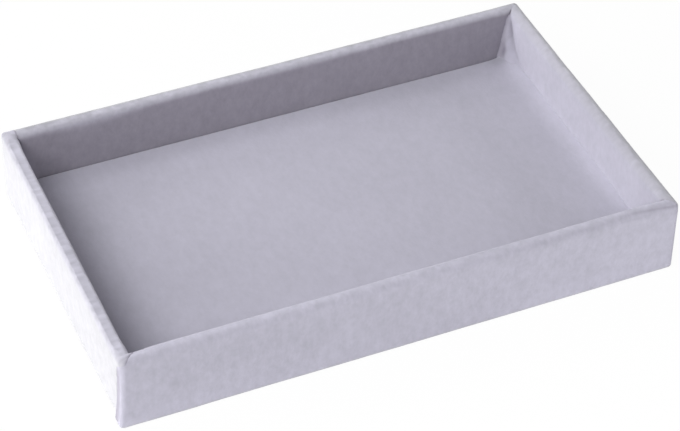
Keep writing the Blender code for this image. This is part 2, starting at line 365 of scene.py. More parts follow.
# A board whose colour goes towards its fleck by the plain share plus the weighted clouds and fibres
def dressBoards(name):
    s, grain = boardSettings[name], grainSettings
    material, tree, shader = newMaterial(name + "_board", s["colour"])
    place = addNode(tree, "ShaderNodeTexCoord")["Object"]
    fibres, clouds = (
        centredNoise(tree, place, s["scale"] * share, octaves, roughness)
        for share, octaves, roughness in (grain["fibres"], grain["clouds"])
    )
    plain, cloudWeight, fibreWeight = grain["flecks"]
    flecks = calculate(tree, "MULTIPLY_ADD", clouds, cloudWeight, plain)
    flecks = calculate(tree, "MULTIPLY_ADD", fibres, fibreWeight, flecks, clamp=True)
    inputs = {0: flecks, 6: (*s["colour"], 1), 7: (*s["fleck"], 1)}
    colour = addNode(tree, "ShaderNodeMix", {"data_type": "RGBA"}, inputs)[2]
    rough = calculate(tree, "MULTIPLY_ADD", fibres, grain["roughRange"], s["roughness"], clamp=True)
    bump = addNode(tree, "ShaderNodeBump", inputs={**grain["bump"], "Height": fibres})[0]
    inputs = {"Base Color": colour, "Roughness": rough, "Normal": bump, "Metallic": 0, "Specular IOR Level": 0.3}
    setInputs(tree, shader, inputs)
    for node in s["nodes"]:
        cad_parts[node].data.materials.clear()
        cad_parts[node].data.materials.append(material)


for name in boardSettings:
    dressBoards(name)
print("boards dressed")


# Sides of the tray, taken anticlockwise from above: the way along, the way in, and the corners at both ends
sides = {
    "front": {"along": (1, 0), "inward": (0, 1), "ends": ("frontLeft", "frontRight")},
    "right": {"along": (0, 1), "inward": (-1, 0), "ends": ("frontRight", "backRight")},
    "back": {"along": (-1, 0), "inward": (0, -1), "ends": ("backRight", "backLeft")},
    "left": {"along": (0, -1), "inward": (1, 0), "ends": ("backLeft", "frontLeft")},
}


# Half the tray's size along a side, and across it
def halvesOf(side):
    halves = tray["halfLength"], tray["halfDepth"]
    return halves if side in ("front", "back") else halves[::-1]


# A run along one half of a corner and the straight beside it. distance is measured along the loop from the
# mitre, and is negative past it. Up to halfTurn from the mitre the loop is a round of radius size or, by the
# share bridge, a straight cut across the corner. Past that it is straight. Returns the distances from the
# neighbour's outer face and from the side's own, and the plan direction out of the tray in the same terms.
def cornerRun(distance, inset, size, halfTurn, bridge):
    own = np.abs(distance)
    share = np.clip((halfTurn - own) / np.maximum(halfTurn, hair), 0, 1)
    angle = share * math.pi / 4
    roundA, roundB = size * (1 - np.sin(angle)), size * (1 - np.cos(angle))
    cutA, cutB = size * (1 - share / 2), size * share / 2
    straight = np.maximum(own - halfTurn, 0)
    acrossEnd = inset + roundA * (1 - bridge) + cutA * bridge + straight
    acrossSide = inset + roundB * (1 - bridge) + cutB * bridge
    cutAngle = np.where(share > 0, math.pi / 4, 0)
    lean = angle * (1 - bridge) + cutAngle * bridge
    outEnd, outSide = np.sin(lean), np.cos(lean)
    past = distance < 0
    return {
        "fromEnd": np.where(past, acrossSide, acrossEnd),
        "fromSide": np.where(past, acrossEnd, acrossSide),
        "outEnd": np.where(past, outSide, outEnd),
        "outSide": np.where(past, outEnd, outSide),
    }


# A cloth carried along one side. Each row of the section has an inset, a height, a direction out of its face,
# and at both corners a size, a half turn, a bridge share and the distance from the mitre where the row ends.
# The columns of a corner lie at the shares t^crowd of the way. Returns points and normals, the plan direction
# out of the tray, the distances from the nearer end and from the mitre, and the length along.
def sideSurface(side, section, corners, reach, cornerColumns, straightColumns, crowd=1.0):
    halfAlong, halfAcross = halvesOf(side)
    inset = section["inset"][:, None]
    share = np.linspace(0, 1, cornerColumns)[None, :] ** crowd
    parts = []
    for corner in corners:
        size, halfTurn, end, bridge = (corner[key][:, None] for key in ("size", "halfTurn", "end", "bridge"))
        stop = np.maximum(halfTurn, reach)
        distance = end + (stop - end) * share
        run = cornerRun(distance, inset, size, halfTurn, bridge)
        length = halfAlong - (inset + size + stop - halfTurn) + (stop - distance)
        parts.append({**run, "toEnd": distance - end, "length": length, "fromMitre": distance})
    first, last = parts

    # One value over the whole side; a value that points along the side turns its sign at the first corner
    def joined(key, middle, signs=(1, 1)):
        return np.hstack([signs[0] * first[key], middle, signs[1] * last[key][:, ::-1]])

    firstEdge, lastEdge = halfAlong - first["fromEnd"][:, -1:], halfAlong - last["fromEnd"][:, -1:]
    straight = -firstEdge + (firstEdge + lastEdge) * np.linspace(0, 1, straightColumns)[None, 1:-1]
    flat = np.zeros_like(straight)
    along = np.hstack([first["fromEnd"] - halfAlong, straight, (halfAlong - last["fromEnd"])[:, ::-1]])
    inward = joined("fromSide", inset + flat)
    outAlong = joined("outEnd", flat, (-1, 1))
    outInward = joined("outSide", flat - 1, (-1, -1))
    way, into = np.array(sides[side]["along"]), np.array(sides[side]["inward"])
    plan = along[..., None] * way + (inward - halfAcross)[..., None] * into
    outPlan = outAlong[..., None] * way + outInward[..., None] * into
    up = np.ones_like(along)[..., None]
    faceIn, faceUp, height = (section[key][:, None, None] for key in ("faceIn", "faceUp", "height"))
    return {
        "points": np.concatenate([plan, height * up], -1),
        "normal": np.concatenate([-faceIn * outPlan, faceUp * up], -1),
        "outward": outPlan,
        "toEnd": joined("toEnd", np.minimum(straight - along[:, :1], along[:, -1:] - straight)),
        "length": joined("length", straight, (-1, 1)),
        "fromMitre": joined("fromMitre", flat + reach),
    }


# A section is built of runs, each with its number of points. A straight run: start + (end - start) * t
def straightRun(start, end, face, count):
    share = np.linspace(0, 1, count)[:, None]
    points = np.array(start) + (np.array(end) - np.array(start)) * share
    return points, np.broadcast_to(np.array(face, float), points.shape)


# A quarter of an ellipse: centre + (cos, sin) * radii, facing along (cos, sin) / radii
def quarterRun(centre, radii, startAngle, endAngle, count, hollow=False):
    angle = np.radians(np.linspace(startAngle, endAngle, count))
    circle = np.stack([np.cos(angle), np.sin(angle)], -1)
    points = np.array(centre) + circle * np.array(radii)
    face = circle / np.array(radii)
    face = face / np.linalg.norm(face, axis=1, keepdims=True)
    return points, -face if hollow else face


# Runs joined end to end, with the length of cloth up to each point
def joinRuns(runs):
    points, faces = (np.concatenate([runs[0][k]] + [run[k][1:] for run in runs[1:]]) for k in (0, 1))
    step = np.linalg.norm(np.diff(points, axis=0), axis=1)
    return {
        "inset": points[:, 0],
        "height": points[:, 1],
        "faceIn": faces[:, 0],
        "faceUp": faces[:, 1],
        "arc": np.concatenate([[0], np.cumsum(step)]),
    }


# The direction of a row's face runs from -1 on the outer face over 0 on the flat of the rim to 1 on the inner
# face. What begins or ends where it passes these:
facing = {"outer": -0.02, "lining": 0.05, "tuck": 0.2, "inside": 0.5, "rim": 0.6, "upright": 0.9}
facingDown = {"turned": -0.9, "flat": -0.999}  # the same, up and down

# Velvet strips round the walls
wrapSettings = {
    "thickness": 0.7 * mm,
    "footRadius": 0.8 * mm,
    "footSag": 0.5 * mm,  # the fold at the foot hangs this much below the part that is glued under
    "footWidth": 3.6 * mm,
    # The width and depth of the rim's outer round and of its inner one, and how far the lining leans back
    "rimAtCorners": (2.4 * mm, 2.4 * mm, 2.5 * mm, 2.7 * mm, 0.0),
    "rim": {
        "front": (2.6 * mm, 2.6 * mm, 2.2 * mm, 1.6 * mm, 0.0),
        "right": (2.6 * mm, 2.6 * mm, 3.1 * mm, 3.0 * mm, 0.0),
        "back": (2.6 * mm, 2.6 * mm, 1.8 * mm, 2.3 * mm, 0.0),
        "left": (1.0 * mm, 4.0 * mm, 1.3 * mm, 1.7 * mm, 0.7 * mm),
    },
    "ownRimFrom": 1.5 * mm,  # distance from the mitre where a side's own rim begins to take over
    "tuckLine": 0.25 * mm,  # height over the pad at which the folds in the inner corners close
    "hem": 0.8 * mm,  # straight cloth over that line
    "hemFold": 0.1 * mm,
    "liningBend": 0.3 * mm,
    "turnUnder": 12 * mm,
    "liningTurn": 10 * mm,
    "leastCorner": 0.6 * mm,
    "seamGap": 0.10 * mm,
    "seamRound": 0.55 * mm,  # width over which a cut edge rolls down
    # Width of the painted shade along a cut edge
    "seamShade": 0.45 * mm,
    "seamDrop": 0.25 * mm,  # a cut edge that rolls down this far has its full shade
    "seamSpread": 0.7,  # power by which a wider roll widens the shade
    "seamClear": 0.5 * mm,  # how far the seam inside lies clear of a wide fold
    "seamLost": 0.9,  # share of an outer seam's roll that is lost near the rim
    "rollQuarter": 0.98,  # just short of a whole quarter round, so that the roll never stands upright
    "cornerReach": 10 * mm,
    "cornerColumns": 34,
    "crowd": 1.25,
    "columnPitch": 1.1 * mm,
    "seeds": {"front": 11, "right": 21, "back": 31, "left": 41},  # of a strip's noise; the next six are its own too
    "noiseFrom": 0.5,  # where on the lattice the noise of a strip begins
    "ripples": ((31 * mm, 0.10 * mm), (11 * mm, 0.05 * mm)),  # size and height
    "calm": (0.3, 7 * mm),  # share of those left at a cut edge, and how far from it they are whole
    "smallRipples": ((3.6 * mm, 0.018 * mm), (1.9 * mm, 0.010 * mm)),
    "hiddenRipple": 0.15,  # share of all ripples left where the cloth is glued out of sight
    "nap": (1.5 * mm, 0.07 * mm),
    "fadeWander": (23 * mm, 0.8 * mm),  # the darker pile inside begins at an uneven depth
    "turnedLean": 0.10,  # lean of the pile past a mitre
    "turnedWidth": 0.4 * mm,
    "padHides": 0.3 * mm,  # the lining is out of sight from this far below the top of the pad
    "proudEases": (2.5 * mm, 0.2 * mm),  # before the mitre: where a lap starts to stand out and where it is out
    "sunkEases": 4 * mm,  # distance from its edge at which a lap that is sunk instead is so in full
    "greyEnds": (2.0 * mm, 0.5 * mm),  # past the mitre: where a side's grey has gone, and where it starts to go
    "footTop": 1.3 * mm,
}
# Cut edges are uneven along their length
dashSettings = {
    "size": 1.3 * mm,
    "from": (0.3, 0.1),  # where on the lattice their noise begins
    "middle": 0.5,
    "range": 0.8,
    "limits": (0.12, 1.2),
    "steady": 0.4,  # share of the roll that is even
}
# radius is the outer corner's round at the top and at the foot. The owner of a corner laps over its neighbour
# outside by lap, at the top and at the foot; with None it runs straight through. The lap stands proud of the
# neighbour, at the top and at the foot. rimShift is how far the seam on the rim lies on the owner's side of the
# mitre, and rimRoll is how many times wider than usual its edges roll down. tuck is how wide the fold in the
# inner corner is at the floor; with a reach the neighbour runs on under it, and the fold reaches along its
# owner's wall by first * d + second * d^4 for the share d of the depth. The drops are how deep the cut edges
# roll down on the rim, outside and inside. foldShade paints shade on the lap, by a share, between two shares
# of the lap from its edge; underShade paints shade on the neighbour, between two distances from its own.
plainCorner = {
    "radius": (2.0 * mm, 2.0 * mm),
    "lap": None,
    "proud": (0.2 * mm, 0.2 * mm),
    "rimShift": 0.0,
    "rimRoll": 1.0,
    "tuck": 1.2 * mm,
    "reach": None,
    "drops": (0.05 * mm, 0.24 * mm, 0.30 * mm),
    "foldShade": (0.2, 0, 0.1),
    "underShade": (0.2, 0, 2.0 * mm),
}
cornerSettings = {
    "frontLeft": {
        **plainCorner,
        "owner": "front",
        "radius": (2.3 * mm, 1.0 * mm),
        "lap": (4.4 * mm, 6.1 * mm),
        "proud": (-0.3 * mm, 1.8 * mm),
        "rimShift": 2.05 * mm,
        "rimRoll": 2.8,
        "drops": (0.26 * mm, 0.14 * mm, 0.30 * mm),
        "foldShade": (0.62, 0.32, 0.74),
        "underShade": (0.10, 0, 1.5 * mm),
    },
    "frontRight": {**plainCorner, "owner": "front", "lap": (3.2 * mm, 3.2 * mm), "tuck": 1.0 * mm},
    "backRight": {
        **plainCorner,
        "owner": "right",
        "lap": (3.0 * mm, 3.0 * mm),
        "tuck": 5.1 * mm,
        "reach": (7.2 * mm, 7.0 * mm),
        "drops": (0.05 * mm, 0.24 * mm, 0.42 * mm),
    },
    "backLeft": {
        **plainCorner,
        "owner": "left",
        "radius": (1.0 * mm, 1.0 * mm),
        "proud": (0.0, 0.0),
        "drops": (0.20 * mm, 0.24 * mm, 0.30 * mm),
    },
}
# What eases in between two depths below the rim, at every corner
depthSettings = {
    "tuckStart": 0.8 * mm,  # where the folds in the inner corners begin
    "lapNarrows": (23 * mm, 3 * mm),
    "lapEnds": (5.5 * mm, 1.0 * mm),
    "rimShift": (3 * mm, 0.3 * mm),
    "onRim": (1.8 * mm, 0.6 * mm),
    "seamFlattens": (11 * mm, 4 * mm),
    "shadeEnds": (7 * mm, 3.5 * mm),
    "lapFoot": (-0.45 * mm, 0.5 * mm),  # measured up from the foot
    # In shares of the depth of the fold inside
    "tuckFlattens": (0.02, 0.25),
    "seamMoves": (0.0, 0.15),
}
# The fold over the back right corner has a ridge and a groove beside it: the share of its reach where each
# lies, its width in shares, how far it stands out, and the painted light on the ridge and painted shade in
# the groove. Shade is painted all over the fold near the rim, and only beside the neighbour's wall near the
# floor. The rest eases in between two shares of the depth at which the fold has opened.
foldSettings = {
    "ridge": {"at": 0.50, "width": 0.20, "out": 0.55 * mm, "lightGain": 0.06},
    "groove": {"at": 0.84, "width": 0.13, "out": -0.45 * mm, "lightGain": -0.19},
    # Painted shade over the fold, carried as lean
    "lean": (0.42, 0.66),  # near the rim and near the floor
    "shadeStarts": (0.0, 0.10),
    "shadeDeepens": (0.35, 0.75),
    "shadeNarrows": (0.72, 0.75, 1.2),  # how much less far it reaches there, and the shares where it ends
    "standsOut": (0.03, 0.3),
    "wavesStart": (0.1, 0.6),
    "wavesEnd": 0.15,  # share of the reach over which they die away at its end
    "wavesSink": (0.5, 0.8, 0.5),  # the last number is the share of them that is lost
    "lightAndShadeFades": (0.45, 0.75, 0.9),
}
# The pile of each strip. rimNap is how strongly the nap shows on the rim. share is that of the darker pile on
# the inner face, partly pile that leans away and partly painted shade, which begins and has taken over at two
# depths below the rim; late is a place along the strip where it takes longer: where, how wide and how much.
# grey is how far the rim, its outer rounding, the outer face and the foot turn to a plain grey.
liningSettings = {
    "front": {"rimNap": 0.05, "share": 0.70, "depths": (1.6 * mm, 5.0 * mm), "grey": (0.0, 0.0, 0.0, 0.35)},
    "right": {"rimNap": 0.04, "share": 0.15, "depths": (0.15 * mm, 4.0 * mm), "grey": (0.25, 0.5, 0.0, 0.35)},
    "back": {
        "rimNap": 0.1,
        "share": 0.93,
        "depths": (0.15 * mm, 3.2 * mm),
        "late": (80 * mm, 20 * mm, 3.6 * mm),
        "grey": (0.2, 0.65, 0.0, 0.2),
    },
    "left": {"rimNap": 0.12, "share": 0.55, "depths": (1.6 * mm, 5.0 * mm), "grey": (0.12, 0.2, 0.75, 0.75)},
}
# Creases pressed into the strips, with painted shade along them: places on the tray with the crease's strength
# there
creaseSettings = {
    "front": [
        {
            "path": [
                (20, -74.6, 34.6, 0.05),
                (60, -74.5, 34.6, 0.35),
                (86, -74.1, 34.8, 0.45),
                (98, -73.5, 35, 0.35),
            ],
            "width": 1.1 * mm,
            "depth": 0.14 * mm,
            "shade": 0.42,
        },
        {
            "path": [
                (91, -72.6, 35, 0.1),
                (98.7, -73.2, 35, 0.55),
                (104.4, -73.6, 34.9, 0.75),
                (110, -74.1, 34.7, 0.9),
                (116, -74.7, 34.2, 1),
                (119.5, -74.6, 33.8, 0.8),
            ],
            "width": 0.85 * mm,
            "depth": 0.24 * mm,
            "shade": 0.60,
        },
        {
            "path": [(103, -73.6, 34.9, 0.2), (110, -73.9, 34.8, 1), (119.5, -73.6, 34.4, 1)],
            "width": 1.7 * mm,
            "depth": 0.05 * mm,
            "shade": 0.30,
        },
    ],
    "right": [
        {
            "path": [
                (114.2, 67.4, 29.5, 0.9),
                (114.2, 65, 23.6, 1),
                (114.2, 62.3, 17.7, 0.8),
                (114.2, 57.8, 14.2, 0.32),
                (114.2, 50.6, 13.2, 0.12),
                (114.2, 24, 12.9, 0.05),
                (114.2, -5, 12.9, 0),
            ],
            "width": 1.0 * mm,
            "depth": 0.20 * mm,
            "shade": 0.55,
        },
        {
            "path": [
                (111.8, 67.3, 17.8, 0.5),
                (111.4, 66.8, 15.8, 1),
                (111, 66.8, 14.1, 1),
                (110.9, 66.5, 12.4, 0.6),
            ],
            "width": 1.4 * mm,
            "depth": 0.35 * mm,
            "shade": 1.0,
        },
    ],
    "back": [
        {
            "path": [(113.8, 69.2, 33.5, 0.9), (111.6, 69.2, 22.6, 0.8), (109.4, 69.2, 10.2, 1)],
            "width": 1.4 * mm,
            "depth": 0.12 * mm,
            "shade": 0.30,
        },
    ],
    "left": [],
}
# Painted light and shade on the strips: place, spread and gain
paintedLightSettings = {
    "front": [
        ((95, -75, 14), (45, 6, 16), 0.035),
        ((-65, -75, 23), (60, 6, 9), -0.055),
        ((70, -75, 33), (36, 2, 1.6), -0.053),
        ((-90, -75, 2), (50, 3, 4), 0.05),
        ((85, -75, 2.5), (45, 3, 5), 0.055),
        ((-62, -71.3, 35), (65, 1.6, 2), 0.10),
        ((78, -71.0, 35), (30, 1.2, 2), 0.08),
        ((30, -71.3, 35), (22, 1.6, 2), -0.025),
        ((110, -70.4, 35), (9, 1.3, 2), 0.10),
        ((-111.5, -71.6, 35), (3.5, 1.2, 2), 0.12),
        ((-119, -75.5, 1.5), (3, 3, 2.5), 0.12),
    ],
    "right": [
        ((114.2, 64, 21), (4, 7, 12), 0.10),
        ((114.2, 0, 12), (3, 90, 4), 0.05),
        ((114.2, 0, 33), (3, 120, 4), -0.04),
        ((116.4, 0, 35), (1.4, 150, 2), 0.01),
        ((117.5, -45, 34.5), (3, 50, 3), -0.08),
        ((117, 45, 35), (3, 25, 3), 0.04),
        ((114.2, -54, 15), (3, 26, 13), 0.075),
        ((114.2, 38, 13), (3, 14, 7), 0.045),
    ],
    "back": [
        ((40, 71.3, 35), (100, 1.6, 2), 0.05),
        ((-109, 72, 35), (12, 2, 2), -0.10),
        ((-114.2, 69.2, 10), (6.6, 5, 13), 0.85),
    ],
    "left": [
        ((-116.6, 70, 35), (2.2, 60, 2.4), 0.07),
        ((-116.8, -64, 35), (2.2, 14, 2.4), 0.11),
        ((-116.8, -12, 35), (2.2, 30, 2.4), -0.055),
        ((-120, -30, 12), (4, 90, 18), 0.075),
        ((-120, 45, 14), (4, 50, 19), 0.035),
        ((-120, 0, 34.4), (1.4, 160, 1.8), -0.14),
        ((-120, 50, 34.7), (1.4, 42, 1.7), -0.08),
        ((-120, 62, 33.6), (1.6, 8, 2.2), -0.08),
        ((-117, -71, 35), (2.2, 1.2, 2), -0.04),
    ],
}


# The section of a strip: in under the base, round the foot, up the outer face, over the rim, down the inner
# face to the line where the folds close, and onto the base board under the pad
def makeWrapSection(rim):
    s = wrapSettings
    top, wall, foot, floor, bend = tray["top"], tray["wall"], tray["foot"], tray["liningFloor"], s["liningBend"]
    outerWide, outerDeep, innerWide, innerDeep, leanBack = rim
    crest = wall - leanBack
    tuckLine = tray["padTop"] + s["tuckLine"]
    hemTop, hemFoot = tuckLine + s["hem"], tuckLine - s["hemFold"]
    footWidth, footRadius, sag = s["footWidth"], s["footRadius"], foot - s["footSag"]
    runs = [
        straightRun((s["turnUnder"], foot), (footWidth, foot), (0, -1), 7),
        straightRun((footWidth, foot), (footRadius, sag), (0, -1), 6),
        quarterRun((footRadius, sag + footRadius), (footRadius, footRadius), 270, 180, 7),
        straightRun((0, sag + footRadius), (0, top - outerDeep), (-1, 0), 38),
        quarterRun((outerWide, top - outerDeep), (outerWide, outerDeep), 180, 90, 14),
        straightRun((outerWide, top), (crest - innerWide, top), (0, 1), 4),
        quarterRun((crest - innerWide, top - innerDeep), (innerWide, innerDeep), 90, 0, 11),
        straightRun((crest, top - innerDeep), (wall, hemTop), (1, 0), 27),
        straightRun((wall, hemTop), (wall, tuckLine), (1, 0), 4),
        straightRun((wall, tuckLine), (wall, hemFoot), (1, 0), 2),
        straightRun((wall, hemFoot), (wall, floor + bend), (1, 0), 5),
        quarterRun((wall + bend, floor + bend), (bend, bend), 180, 270, 5, hollow=True),
        straightRun((wall + bend, floor), (wall + s["liningTurn"], floor), (0, 1), 7),
    ]
    return {**joinRuns(runs), "tuckLine": tuckLine}


# Sizes of one corner, row by row: the tuck opens with depth below the rim, and closes under its own hem. The
# seam follows the mitre, laps round the outer corner lower down, and keeps to one side of the tuck inside. The
# half turn is size * pi / 4 on a round and size / sqrt(2) on a straight cut.
def cornerRows(name, side, section):
    s, c = wrapSettings, cornerSettings[name]
    owner = c["owner"] == side
    under = c["reach"] is not None and not owner  # this strip runs on under the neighbour's fold
    inset, height, faceIn, tuckLine = section["inset"], section["height"], section["faceIn"], section["tuckLine"]
    outside, inside = faceIn < -hair, (inset > tray["wall"] - hair) & (faceIn > facing["inside"])

    # Eases from 0 to 1 between the two depths below the rim that the key names
    def rising(key):
        low, high = depthSettings[key]
        return easeBetween(height, tray["top"] - low, tray["top"] - high)

    tuckStart = tray["top"] - depthSettings["tuckStart"]
    depth = (tuckStart - height) / (tuckStart - tuckLine)
    depth = np.clip(np.where(faceIn > facing["tuck"], depth, 0), 0, 1)
    opened = depth * (height >= tuckLine - hair)
    upShare = np.clip(height / tray["top"], 0, 1)
    radiusTop, radiusFoot = c["radius"]
    radius = radiusFoot + (radiusTop - radiusFoot) * upShare
    size = np.maximum(radius - inset, s["leastCorner"])
    if not under:
        size = size + (c["tuck"] - s["leastCorner"]) * opened
    bridge = easeBetween(opened, *depthSettings["tuckFlattens"])
    halfTurn = size * (math.pi / 4 * (1 - bridge) + bridge / math.sqrt(2))
    footLow, footHigh = depthSettings["lapFoot"]
    outerRise = easeBetween(height, tray["foot"] + footLow, tray["foot"] + footHigh) * (1 - rising("lapEnds"))
    if c["lap"] is None:
        past = np.maximum(tray["wall"] - inset - size + halfTurn, 0) * (faceIn < facing["upright"])
    else:
        lapTop, lapFoot = c["lap"]
        lap = lapFoot + (lapTop - lapFoot) * rising("lapNarrows")
        past = (lap - inset - size + halfTurn) * outerRise * outside
    past = past - c["rimShift"] * rising("rimShift") * ~inside
    if not under:
        seamInside = halfTurn + (s["seamClear"] if c["reach"] else 0)
        past = past + np.where(inside, seamInside * easeBetween(depth, *depthSettings["seamMoves"]), 0)
    rimDrop, outerDrop, innerDrop = c["drops"]
    onRim = rising("onRim") * (faceIn < facing["rim"])
    outerDrop = outerDrop * (1 - s["seamLost"] * rising("seamFlattens"))
    # Painted shade near a cut edge: on the owner's lap, and otherwise beside the seam
    if owner and c["lap"]:
        shade, shadeFrom, shadeTo = c["foldShade"]
        shadeFrom, shadeTo = shadeFrom * lap, shadeTo * lap
        shade = shade * (1 - rising("shadeEnds"))
    else:
        shade, shadeFrom, shadeTo = c["underShade"]
    proudTop, proudFoot = c["proud"]
    proud = proudTop + (proudFoot - proudTop) * (1 - upShare) ** 3
    whole = np.ones_like(inset)
    return {
        "size": size,
        "halfTurn": halfTurn,
        "bridge": bridge,
        "end": (-1 if owner else 1) * past + s["seamGap"] / 2,
        "drop": np.where(inside | (faceIn > facing["rim"]), innerDrop, outerDrop + (rimDrop - outerDrop) * onRim),
        "rolled": 1 + (c["rimRoll"] - 1) * onRim,
        "opened": opened,
        "lapped": outside * outerRise * (1.0 if owner and c["lap"] else 0.0),
        "proud": proud * outside * outerRise * owner,
        "shade": shade * outside * outerRise,
        "shadeFrom": shadeFrom * whole,
        "shadeTo": shadeTo * whole,
    }


# Draws the owner's lining out over an inner corner. For the share t of the fold's reach along the wall, the
# lining stands out from its wall by tuck * d * (1 - t) plus a ridge and a groove, where d is the share of the
# depth. Moves the points and returns the painted shade and the painted light and shade that go with the fold.
def drawFold(points, side, name, opened):
    c, f, least = cornerSettings[name], foldSettings, wrapSettings["leastCorner"]
    halfAlong, halfAcross = halvesOf(side)
    way, into = np.array(sides[side]["along"]), np.array(sides[side]["inward"])
    toward = 1 if sides[side]["ends"][1] == name else -1
    fromCorner = halfAlong - tray["wall"] - toward * (points[..., :2] @ way)
    standing = points[..., :2] @ into + halfAcross - tray["wall"]
    reach = least + c["reach"][0] * opened + c["reach"][1] * opened**4
    share = np.clip(fromCorner / reach, 0, 1)
    width = least + (c["tuck"] - least) * opened

    # The sum of the ridge's bell and the groove's, each times its own value
    def wavesOf(value):
        return sum(bell(share, f[key]["at"], f[key]["width"]) * f[key][value] for key in ("ridge", "groove"))

    # One, less a share that is lost between two depths of the fold
    def lessened(settings):
        low, high, lost = settings
        return 1 - lost * easeBetween(opened, low, high)

    active = easeBetween(opened, *f["standsOut"]) * (share < 1)
    waves = wavesOf("out") * easeBetween(opened, *f["wavesStart"]) * lessened(f["wavesSink"])
    target = width * (1 - share) + waves * easeBetween(1 - share, 0, f["wavesEnd"])
    further = np.maximum(target - standing, 0) * active
    points[..., :2] += further[..., None] * into
    # Painted shade over the fold, carried in the lean
    deep = easeBetween(opened, *f["shadeDeepens"])
    lean = f["lean"][0] * (1 - deep) + f["lean"][1] * deep
    lean = lean * easeBetween(opened, *f["shadeStarts"]) * (share < 1)
    narrower, low, high = f["shadeNarrows"]
    lean = lean * (1 - easeBetween(share + narrower * deep, low, high))
    return lean, wavesOf("lightGain") * active * lessened(f["lightAndShadeFades"])


# How near each point lies to a crease: 1 on its path, falling off as exp(-(distance / width)^2), times the
# strength that its places are given
def creaseShare(points, crease):
    path = np.array(crease["path"])
    places, strengths = path[:, :3] * mm, path[:, 3]
    nearest = np.zeros(points.shape[:-1])
    for start, end, first, last in zip(places[:-1], places[1:], strengths[:-1], strengths[1:]):
        way = end - start
        share = np.clip(((points - start) @ way) / (way @ way), 0, 1)
        away = np.linalg.norm(points - (start + share[..., None] * way), axis=-1)
        nearest = np.maximum(nearest, (first + (last - first) * share) * bell(away, 0, crease["width"]))
    return nearest


